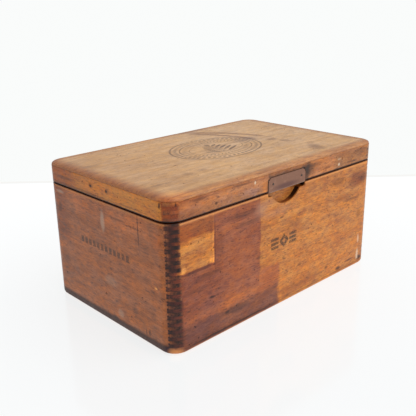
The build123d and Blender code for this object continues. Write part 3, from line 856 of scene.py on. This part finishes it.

# %% [markdown]
# ### Four steels
# The plate is handled most: its lower lip is rubbed bright where fingers pull and carries a
# painted highlight, and a bluish patch above it is a painted reflection. The hinges
# and screws are duller, and the nail heads are nearly black.


# %% Steel materials
def steel(name, bright, brown, amount, smoothness=0.38, edges=None, shine=0.9, gloss=0.5):
    """A steel that has browned; edges is a function that adds more marks, such as the plate's
    painted reflection and rubbed lip.
    """
    metal = Board.__new__(Board)
    metal.start(name)
    brown = tone(*brown)
    rusted, grain = metal.group(RUST, Place=metal.place, Amount=amount)
    metal.colour = metal.mix(rusted, tone(*bright), metal.mix(grain, brown, darker(brown, 0.6)))
    metal.rough = metal.math("MULTIPLY_ADD", rusted, 0.3, smoothness)
    metal.height = metal.math("MULTIPLY", grain, metal.math("ADD", rusted, 0.3))
    if edges:
        edges(metal)
    metallic = metal.math("MULTIPLY_ADD", rusted, -0.8 * shine, shine)
    return metal.finish(0.0, 0.3, 0.08, metallic, gloss, bare=False)


def plate_reflection_and_rub(metal):
    """A bluish patch on the plate's lower part, a painted reflection, and its lip, rubbed pale and
    with a painted highlight.
    """
    bluish_reflection = metal.oval((PLATE_MIDDLE - 2, -BACK, LID_EDGE + 2), (17, DEEP, 2.6), 0.6)
    metal.wash(bluish_reflection, (176, 172, 206), 0.7)
    # The lip's lighter colour is wear with a painted highlight.
    lip = metal.block((PLATE_MIDDLE, -BACK, LID_EDGE - 1.3), (27, DEEP, 0.5), 0.5)
    metal.wash(lip, (190, 176, 166), 0.5, "MIX")


PLATE_STEEL = steel("Lift plate steel", (182, 138, 116), (154, 112, 92), 0.9, 0.5, plate_reflection_and_rub,
                    0.5, 0.3)
HINGE_STEEL = steel("Hinge steel", (150, 138, 128), (98, 70, 54), 0.6)
SCREW_STEEL = steel("Screw steel", (160, 150, 140), (104, 76, 58), 0.5)
NAIL_STEEL = steel("Nail steel", (96, 86, 80), (62, 48, 42), 0.7)

# %% [markdown]
# ## Boards with worn edges
# The frame's boards have the right shape and perfectly sharp edges. Real ones are rounded by
# use, and the fingers of a joint show as fine grooves. A merged copy of each board gets a small
# bevel, and then its dents. The frame's own node is hidden, because the copy stands for it.


# %% Copy a board and ease its edges
def add(name, data):
    """A new object in the scene."""
    made = bpy.data.objects.new(name, data)
    bpy.context.scene.collection.objects.link(made)
    return made


def merged(mesh):
    """A mesh as an editable shell with its doubled corners merged."""
    shell = bmesh.new()
    shell.from_mesh(mesh)
    bmesh.ops.remove_doubles(shell, verts=shell.verts, dist=1e-6)
    return shell


def copy_of(node, name):
    """A new object with a merged copy of a frame node's mesh."""
    mesh = bpy.data.meshes.new(name)
    shell = merged(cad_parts[node].data)
    bmesh.ops.dissolve_limit(shell, angle_limit=math.radians(0.4), verts=shell.verts,
                             edges=shell.edges)
    shell.to_mesh(mesh)
    shell.free()
    return add(name, mesh)


def settle(piece):
    """Applies a piece's modifiers, so that its own mesh has the final shape."""
    graph = bpy.context.evaluated_depsgraph_get()
    mesh = bpy.data.meshes.new_from_object(piece.evaluated_get(graph))
    piece.modifiers.clear()
    old, piece.data, mesh.name = piece.data, mesh, piece.name
    bpy.data.meshes.remove(old)
    return piece


def ease(piece, width, segments=2):
    """Rounds every sharp edge of a piece by a little."""
    bevel = piece.modifiers.new("Worn edges", "BEVEL")
    bevel.width, bevel.segments = width * MM, segments
    bevel.limit_method, bevel.angle_limit = "ANGLE", math.radians(35)
    return settle(piece)


def open_edges(piece):
    """How many edges of a mesh don't have exactly two faces, and its volume in cm3."""
    shell = bmesh.new()
    shell.from_mesh(piece.data)
    loose = sum(1 for e in shell.edges if not e.is_manifold)
    volume = shell.calc_volume(signed=True) * 1e6
    shell.free()
    return loose, volume


# %% [markdown]
# ### Dents
# A box this old has knocks all over. Geometry Nodes scatters small stones over the board's
# outer faces, each squashed, turned and sized at random from a fixed seed, and a Boolean cuts
# them out of the board. The stones carry a marker material, so that the Boolean leaves it on
# the dents' own faces. There it becomes an attribute, and the wood's material darkens it.


# %% Geometry Nodes: stones that make dents
def geometry_group(name, numbers):
    """A Geometry Nodes tree with one geometry through it, numbers, a seed and a material."""
    return node_group("GeometryNodeTree", name, ("INPUT", "Geometry", "Geometry"),
                      ("INPUT", "Float", numbers), ("INPUT", "Int", "Seed"),
                      ("INPUT", "Material", "Material"), ("OUTPUT", "Geometry", "Geometry"))


def random_turn(tree, rotation, low, high, seed):
    """A rotation, turned once more at random in its own space."""
    spin = tree.node("FunctionNodeRandomValue", data_type="FLOAT_VECTOR", Min=low, Max=high,
                     Seed=seed)
    return tree.node("FunctionNodeRotateRotation", rotation_space="LOCAL", Rotation=rotation,
                     Rotate_By=spin.outputs["Value"]).outputs["Rotation"]


def place_copies(tree, given, out, **values):
    """The end of every tree here: copies on points, made real, with the material set."""
    copies = tree.node("GeometryNodeInstanceOnPoints", **values).outputs["Instances"]
    real = tree.node("GeometryNodeRealizeInstances", Geometry=copies).outputs["Geometry"]
    coat = tree.node("GeometryNodeSetMaterial", Geometry=real, Material=given["Material"])
    tree.put(out["Geometry"], coat.outputs["Geometry"])
    print("tree", tree.tree.name, "with", len(tree.tree.nodes), "nodes")


stones, given, out = geometry_group("Dent stones", "Density Size")
scatter = stones.node("GeometryNodeDistributePointsOnFaces", distribute_method="RANDOM",
                      Mesh=given["Geometry"], Density=given["Density"], Seed=given["Seed"]).outputs
stone = stones.node("GeometryNodeMeshIcoSphere", Radius=given["Size"], Subdivisions=2)
turn = random_turn(stones, scatter["Rotation"], (-0.25, -0.25, 0.0), (0.25, 0.25, 6.28),
                   given["Seed"])
squash = stones.node("FunctionNodeRandomValue", data_type="FLOAT_VECTOR", Min=(0.5, 0.25, 0.12),
                     Max=(1.6, 0.7, 0.3), Seed=given["Seed"])
place_copies(stones, given, out, Points=scatter["Points"], Instance=stone.outputs["Mesh"],
             Rotation=turn, Scale=squash.outputs["Value"])
DENT_STONES = stones.tree

# %% [markdown]
# ### Cutting the dents
# A tree's inputs are set by their identifiers, because two inputs may have the same name. The
# stones may only lie on the outside, so they are scattered over a thin copy of the outer faces.
# A board keeps its dents only if the cut left it closed and took very little wood.


# %% Cut the dents
def run_tree(tree, piece, **values):
    """Puts a tree on a piece with its inputs set by identifier, and applies the result."""
    modifier = piece.modifiers.new(tree.name, "NODES")
    modifier.node_group = tree
    names = {item.name: item.identifier for item in tree.interface.items_tree
             if item.in_out == "INPUT"}
    for name, value in values.items():
        modifier[names[name]] = value
    return settle(piece)


def outer_faces(node):
    """A thin copy of only those faces of a node that lie on the outside of the box."""
    made = copy_of(node, node + "_outside")
    shell = bmesh.new()
    shell.from_mesh(made.data)
    inside = []
    for face in shell.faces:
        x, y, z = (c / MM for c in face.calc_center_median())
        flat_side = abs(face.normal.z) < 0.5 and (abs(x) > RIGHT - 3 or abs(y) > BACK - 3)
        if not (flat_side or (face.normal.z > 0.5 and z > HEIGHT - 1)):
            inside.append(face)
    bmesh.ops.delete(shell, geom=inside, context="FACES")
    shell.to_mesh(made.data)
    shell.free()
    return made


BRUISE = bpy.data.materials.new("Bruised wood")
STONE_SIZE, MOST_CUT = 1.25, 0.02


def dent(piece, node, seed, density, material):
    """Cuts random dents out of a piece. If the cut isn't clean, the piece stays as it was."""
    cutter = run_tree(DENT_STONES, outer_faces(node), Density=density, Size=STONE_SIZE * MM,
                      Seed=seed, Material=BRUISE)
    piece.data.materials.clear()
    piece.data.materials.append(material)
    before, sound = open_edges(piece)[1], piece.data.copy()
    cut = piece.modifiers.new("Dents", "BOOLEAN")
    cut.operation, cut.solver, cut.object = "DIFFERENCE", "EXACT", cutter
    cut.material_mode = "TRANSFER"
    settle(piece)
    loose, after = open_edges(piece)
    if loose or not (1 - MOST_CUT) * before < after <= before * 1.001:
        piece.data = sound
        print(f"{piece.name}: the dents did not cut cleanly ({loose} open edges), left out")
    else:
        print(f"{piece.name}: dents took {before - after:.3f} cm3 of {before:.1f} cm3")
    bpy.data.objects.remove(cutter)


# %% [markdown]
# ### Every board in turn
# The table below is the whole list: which frame node a board stands for, the piece's name, its
# material, the record's slot, the body that it rides on, and how many knocks a square metre of
# it has had. Smooth shading with weighted normals keeps the large faces flat.


# %% Make the boards
def shade(piece, material):
    """One material, with the dents marked, and smooth shading that keeps large faces flat."""
    mesh = piece.data
    knock = mesh.attributes.new("knock", "FLOAT", "FACE")
    for face, value in zip(mesh.polygons, knock.data):
        value.value = float(face.material_index > 0)
        face.material_index = 0
    mesh.materials.clear()
    mesh.materials.append(material)
    mesh.shade_smooth()
    mesh.set_sharp_from_angle(angle=math.radians(32))
    weigh = piece.modifiers.new("Flat faces", "WEIGHTED_NORMAL")
    weigh.mode, weigh.weight, weigh.keep_sharp = "FACE_AREA", 100, True
    settle(piece)


BOARDS = (
    ("body_front", "front_board", FRONT_WOOD, "wall_wood", "box", 900),
    ("body_back", "back_board", BACK_WOOD, "wall_wood", "box", 700),
    ("body_left_end", "left_end_board", LEFT_WOOD, "wall_wood", "box", 900),
    ("body_right_end", "right_end_board", RIGHT_WOOD, "wall_wood", "box", 900),
    ("bottom_board", "bottom", BOTTOM_WOOD, "bottom_wood", "box", 900),
    ("lid_front", "lid_front_board", LID_FRONT_WOOD, "wall_wood", "lid", 1500),
    ("lid_back", "lid_back_board", LID_BACK_WOOD, "wall_wood", "lid", 900),
    ("lid_left_end", "lid_left_end_board", LID_LEFT_WOOD, "wall_wood", "lid", 1500),
    ("lid_right_end", "lid_right_end_board", LID_RIGHT_WOOD, "wall_wood", "lid", 1500),
    ("lid_top", "top_board", TOP_WOOD, "top_wood", "lid", 700),
    ("lid_batten", "batten", BATTEN_WOOD, "plain_wood", "lid", 0),
)
ARRIS = 0.18
for seed, (node, name, material, slot, body, knocks) in enumerate(BOARDS):
    piece = ease(copy_of(node, name), ARRIS)
    if knocks:
        dent(piece, node, seed, knocks, material)
    shade(piece, material)
    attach(piece, body)
    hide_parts(node)
    print(name, len(piece.data.polygons), "faces, open edges", open_edges(piece)[0])

# %% [markdown]
# ## Nails, pins and screws
# Every fastener here is turned: its outline is a short line of radii, swept round an axis. A
# Geometry Nodes tree does the same with a grid. Each row of the grid becomes one ring of the
# outline, each column one step round the axis, and merging closes the seam and the two tips.

# %% Geometry Nodes: the outline of a turned fastener
SIDES, RINGS = 12, 7

turned, given, out = geometry_group("Turned fastener", "Head Dome Rim Taper Shank Length Slot")


def by_ring(*values):
    """The value that belongs to the ring of each grid vertex."""
    switch = turned.node("GeometryNodeIndexSwitch", data_type="FLOAT")
    while len(switch.index_switch_items) < len(values):
        switch.index_switch_items.new()
    for socket, value in zip(switch.inputs, (ring_index, *values)):
        turned.put(socket, value)
    return switch.outputs["Output"]


index = turned.node("GeometryNodeInputIndex").outputs["Index"]
ring_index = turned.math("MODULO", index, float(RINGS))
column = turned.math("FLOOR", turned.math("DIVIDE", index, float(RINGS)))
head, shank = given["Head"], given["Shank"]
crown = turned.math("MULTIPLY", given["Dome"], -1.0)
under = turned.math("SUBTRACT", crown, given["Rim"])
neck = turned.math("SUBTRACT", under, given["Taper"])
point = turned.math("MULTIPLY", given["Length"], -1.0)
tip = turned.math("MULTIPLY_ADD", shank, 1.6, point)
radius = by_ring(0.0, turned.math("MULTIPLY", head, 0.72), head, head, shank, shank, 0.0)
level = by_ring(0.0, turned.math("MULTIPLY", crown, 0.3), crown, under, neck, tip, point)
angle = turned.math("MULTIPLY", column, math.tau / SIDES)
place = turned.node("ShaderNodeCombineXYZ",
                    turned.math("MULTIPLY", radius, turned.math("COSINE", angle)),
                    turned.math("MULTIPLY", radius, turned.math("SINE", angle)), level)
print("outline of", RINGS, "rings, swept in", SIDES, "steps")

# %% [markdown]
# ### From the outline to fasteners in their places
# The swept grid is welded and turned right side out. A saw blade cuts the slot, if there is
# one. A copy then goes to each point, with its axis along the point's own aim and a random
# turn about it, because nobody lines screws up on a plain box.

# %% Geometry Nodes: slot the heads and put the fasteners in place
grid = turned.node("GeometryNodeMeshGrid", Vertices_X=SIDES + 1, Vertices_Y=RINGS)
sweep = turned.node("GeometryNodeSetPosition", Geometry=grid.outputs["Mesh"],
                    Position=place.outputs["Vector"])
weld = turned.node("GeometryNodeMergeByDistance", Geometry=sweep.outputs["Geometry"],
                   Distance=1e-6)
body = turned.node("GeometryNodeFlipFaces", Mesh=weld.outputs["Geometry"]).outputs["Mesh"]
blade = turned.node("ShaderNodeCombineXYZ", turned.math("MULTIPLY", head, 3.0), given["Slot"],
                    turned.math("MULTIPLY", given["Slot"], 2.0))
saw = turned.node("GeometryNodeMeshCube", Size=blade.outputs["Vector"])
slotted = turned.node("GeometryNodeMeshBoolean", operation="DIFFERENCE", solver="EXACT",
                      Mesh_1=body, Mesh_2=saw.outputs["Mesh"])
choose = turned.node("GeometryNodeSwitch", turned.math("GREATER_THAN", given["Slot"], 0.0), body,
                     slotted.outputs["Mesh"], input_type="GEOMETRY")
aim = turned.node("GeometryNodeInputNamedAttribute", data_type="FLOAT_VECTOR", Name="aim")
stand = turned.node("FunctionNodeAlignRotationToVector", axis="Z",
                    Vector=aim.outputs["Attribute"])
twist = random_turn(turned, stand.outputs["Rotation"], (0.0, 0.0, 0.0), (0.0, 0.0, math.pi),
                    given["Seed"])
place_copies(turned, given, out, Points=given["Geometry"], Instance=choose.outputs["Output"],
             Rotation=twist)
FASTENER = turned.tree

# %% [markdown]
# ### Measuring the frame's fasteners
# Where the fasteners are, how long they are and how wide their heads are is measured on the
# frame's own nodes. One node holds several of them, so it is first split into its separate
# shells. A set would hand them out in another order each run, and each head would get another
# random turn, so a dictionary keeps the mesh's own order. The widest point of a shell is on its
# head, which tells which way it looks.


# %% Find the frame's fasteners
def islands(mesh):
    """The corner points of each separate shell in a mesh."""
    shell = merged(mesh)
    waiting, found = dict.fromkeys(shell.verts), []
    while waiting:
        queue, points = [waiting.popitem()[0]], []
        while queue:
            corner = queue.pop()
            points.append(corner.co.copy())
            for edge in corner.link_edges:
                end = edge.other_vert(corner)
                if end in waiting:
                    del waiting[end]
                    queue.append(end)
        found.append(points)
    shell.free()
    return found


def measure_fastener(points):
    """The middle of a head's top, the way it looks, the head's radius and the whole length."""
    low, high = (Vector(min_or_max(p[i] for p in points) for i in range(3))
                 for min_or_max in (min, max))
    middle, size = (low + high) / 2, high - low
    axis = max(range(3), key=lambda i: size[i])

    def from_axis(point):
        across = point - middle
        across[axis] = 0
        return across.length

    widest = max(points, key=from_axis)
    up = widest[axis] > middle[axis]
    top, aim = middle.copy(), Vector((0, 0, 0))
    top[axis] = high[axis] if up else low[axis]
    aim[axis] = 1 if up else -1
    return top, aim, from_axis(widest), size[axis]


# %% [markdown]
# ### Making the fasteners
# A wire nail has a flat head, a pin a domed one, and a screw a cone with a slot. Their small
# measures are listed in millimetres. Each call makes one piece for the fasteners of one body.


# %% Make the fasteners
def fasteners(name, nodes, material, slot, body, **shape):
    """One piece with all the fasteners of some frame nodes, made by the tree."""
    found = [measure_fastener(shell) for node in nodes for shell in islands(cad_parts[node].data)]
    mesh = bpy.data.meshes.new(name)
    mesh.from_pydata([top for top, *_ in found], [], [])
    aims = mesh.attributes.new("aim", "FLOAT_VECTOR", "POINT")
    for value, (_, aim, _, _) in zip(aims.data, found):
        value.vector = aim
    piece = add(name, mesh)
    sizes = {label: value * MM for label, value in shape.items()}
    run_tree(FASTENER, piece, Head=found[0][2], Length=found[0][3], Seed=len(found),
             Material=material, **sizes)
    piece.data.shade_smooth()
    piece.data.set_sharp_from_angle(angle=math.radians(40))
    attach(piece, body)
    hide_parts(*nodes)
    loose, volume = open_edges(piece)
    print(f"{name}: {len(found)} of them, head radius {found[0][2] / MM:.2f} mm,"
          f" open edges {loose}, volume {volume:.4f} cm3")


NAIL = dict(Dome=0.0, Rim=0.5, Taper=0.25, Shank=0.9, Slot=0.0)
PIN = dict(Dome=0.7, Rim=0.01, Taper=0.01, Shank=0.7, Slot=0.0)
SCREW = dict(Dome=0.0, Rim=0.12, Taper=0.98, Shank=1.1, Slot=0.55)
fasteners("batten_wire_nails", ["batten_nails"], NAIL_STEEL, "nail_steel", "lid", **NAIL)
fasteners("bottom_wire_nails", ["bottom_nails"], NAIL_STEEL, "nail_steel", "box", **NAIL)
fasteners("round_head_pins", ["lift_plate_pins"], NAIL_STEEL, "nail_steel", "lid", **PIN)
for part, body in (("body", "box"), ("lid", "lid")):
    both = [f"{side}_hinge_{part}_screws" for side in ("left", "right")]
    fasteners(f"hinge_{part}_screw_set", both, SCREW_STEEL, "screw_steel", body, **SCREW)

# %% [markdown]
# ## Steel pieces from the frame
# The plate, the hinge leaves and the pins already have the right shape, with their bends,
# knuckles and countersinks, so the frame's own nodes stay and only get a better material.

# %% Steel on the frame's nodes
STEELS = {"plate_steel": PLATE_STEEL, "hinge_steel": HINGE_STEEL}
for name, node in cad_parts.items():
    if not node.hide_render:
        for place in node.material_slots:
            place.material = STEELS[place.material.name.split(".")[0]]
        print(name, "is now", node.material_slots[0].material.name)

# %% [markdown]
# ## Floor, light and background
# The box stands on a plain white table in a bright room. The table glows a little, as a white
# sheet does in a light tent, and a thin darker band near its far edge is painted shade that
# stands for the table's lip. From below it can't be seen, so that the underside can be looked at.

# %% Floor
CAMERA_AZIMUTH, CAMERA_ELEVATION, CAMERA_ROLL = -43.236, 19.129, -1.029
CAMERA_PLACE = Vector((-0.46580, -0.47739, 0.31515))
azimuth = math.radians(CAMERA_AZIMUTH)
towards = Vector((math.sin(azimuth), -math.cos(azimuth), 0))
aside = Vector((math.cos(azimuth), math.sin(azimuth), 0))
TABLE_EDGE, TABLE_FRONT, TABLE_SIDE, EDGE_SHADE_WIDTH = 0.41, 3.0, 3.0, 0.011
TABLE_TOP = Vector((0, 0, -0.0002))
corners = ((-TABLE_EDGE, -TABLE_SIDE), (TABLE_FRONT, -TABLE_SIDE), (TABLE_FRONT, TABLE_SIDE),
           (-TABLE_EDGE, TABLE_SIDE))
floor_mesh = bpy.data.meshes.new("floor")
floor_mesh.from_pydata([a * towards + b * aside + TABLE_TOP for a, b in corners], [],
                       [(0, 1, 2, 3)])
floor = add("floor", floor_mesh)
white = bpy.data.materials.new("White table")
white.use_nodes = True
cover = Tree(white.node_tree)
cover.tree.nodes.clear()
spot = cover.node("ShaderNodeTexCoord").outputs["Object"]
from_front = cover.vector("DOT_PRODUCT", spot, tuple(-towards))
# A thin darker band near the far edge is painted shade standing for the table's lip.
lip = cover.smooth(from_front, TABLE_EDGE - EDGE_SHADE_WIDTH - 0.003, TABLE_EDGE - EDGE_SHADE_WIDTH)
glow = cover.mix(lip, (0.99, 1.0, 1.0, 1.0), (0.88, 0.87, 0.84, 1.0))
sheet = cover.node("ShaderNodeBsdfPrincipled", Base_Color=(0.16, 0.165, 0.17, 1),
                   Roughness=0.12, Emission_Color=glow, Emission_Strength=0.78)
from_below = cover.node("ShaderNodeNewGeometry").outputs["Backfacing"]
clear = cover.node("ShaderNodeBsdfTransparent").outputs["BSDF"]
see_through = cover.node("ShaderNodeMixShader", from_below, sheet.outputs["BSDF"], clear)
cover.node("ShaderNodeOutputMaterial", Surface=see_through.outputs["Shader"])
floor_mesh.materials.append(white)
floor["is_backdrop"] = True
print("floor normal", floor_mesh.polygons[0].normal)

# %% [markdown]
# ### Lamps and world
# Sun lamps with a very wide angle act as big soft lamps that light the whole floor evenly, and
# the world gives the rest. What the camera sees as background is set apart from what lights
# the box, so the light's strength can be tuned alone.


# %% Light and background
def soft_sun(name, direction, strength, angle):
    """A sun lamp that shines along a direction, with a wide angle for soft shadows."""
    lamp = bpy.data.lights.new(name, "SUN")
    lamp.energy, lamp.angle = strength, math.radians(angle)
    add(name, lamp).rotation_euler = Vector(direction).to_track_quat("-Z", "Y").to_euler()


soft_sun("window", (-0.45, 0.75, -1.0), 1.5, 70)
soft_sun("ceiling", (0.1, 0.1, -1.0), 0.4, 120)
world = bpy.data.worlds.new("Bright room")
bpy.context.scene.world = world
world.use_nodes = True
sky = Tree(world.node_tree)
sky.tree.nodes.clear()
seen = sky.node("ShaderNodeBackground", Color=(0.955, 0.97, 0.962, 1))
lit = sky.node("ShaderNodeBackground", Color=(1.0, 1.0, 1.0, 1), Strength=0.5)
choice = sky.node("ShaderNodeMixShader", sky.node("ShaderNodeLightPath").outputs["Is Camera Ray"],
                  lit.outputs[0], seen.outputs[0])
sky.node("ShaderNodeOutputWorld", Surface=choice.outputs[0])
bpy.context.scene.view_settings.view_transform = "Standard"
print("two suns and a world at", lit.inputs["Strength"].default_value)

# %% [markdown]
# ## Camera
# A camera's matrix holds its right, up and backward directions. They come from an azimuth, an
# elevation and a small roll, as on a tripod head, and the camera stands where the box fills
# three quarters of the picture.

# %% Camera
elevation, roll = math.radians(CAMERA_ELEVATION), math.radians(CAMERA_ROLL)
backward = math.cos(elevation) * towards + math.sin(elevation) * Vector((0, 0, 1))
upward = backward.cross(aside)
right_hand = math.cos(roll) * aside + math.sin(roll) * upward
head_up = -math.sin(roll) * aside + math.cos(roll) * upward
camera_data = bpy.data.cameras.new("camera")
camera_data.lens, camera_data.sensor_width = 52.74, 36.0
camera_data.clip_start, camera_data.clip_end = 0.01, 50
camera = add("camera", camera_data)
turn = Matrix((right_hand, head_up, backward)).transposed()
camera.matrix_world = Matrix.Translation(CAMERA_PLACE) @ turn.to_4x4()
bpy.context.scene.camera = camera
print("the camera is", round(CAMERA_PLACE.length, 3), "m from the box's foot")

# %% [markdown]
# ## The finished size
# The finished look may not be larger than the measured frame. The box of the finished look
# is written down as plain numbers, in millimetres.

# %% Size of the finished look
low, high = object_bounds()
print("visual box", [round((b - a) / MM, 2) for a, b in zip(low, high)], "mm")
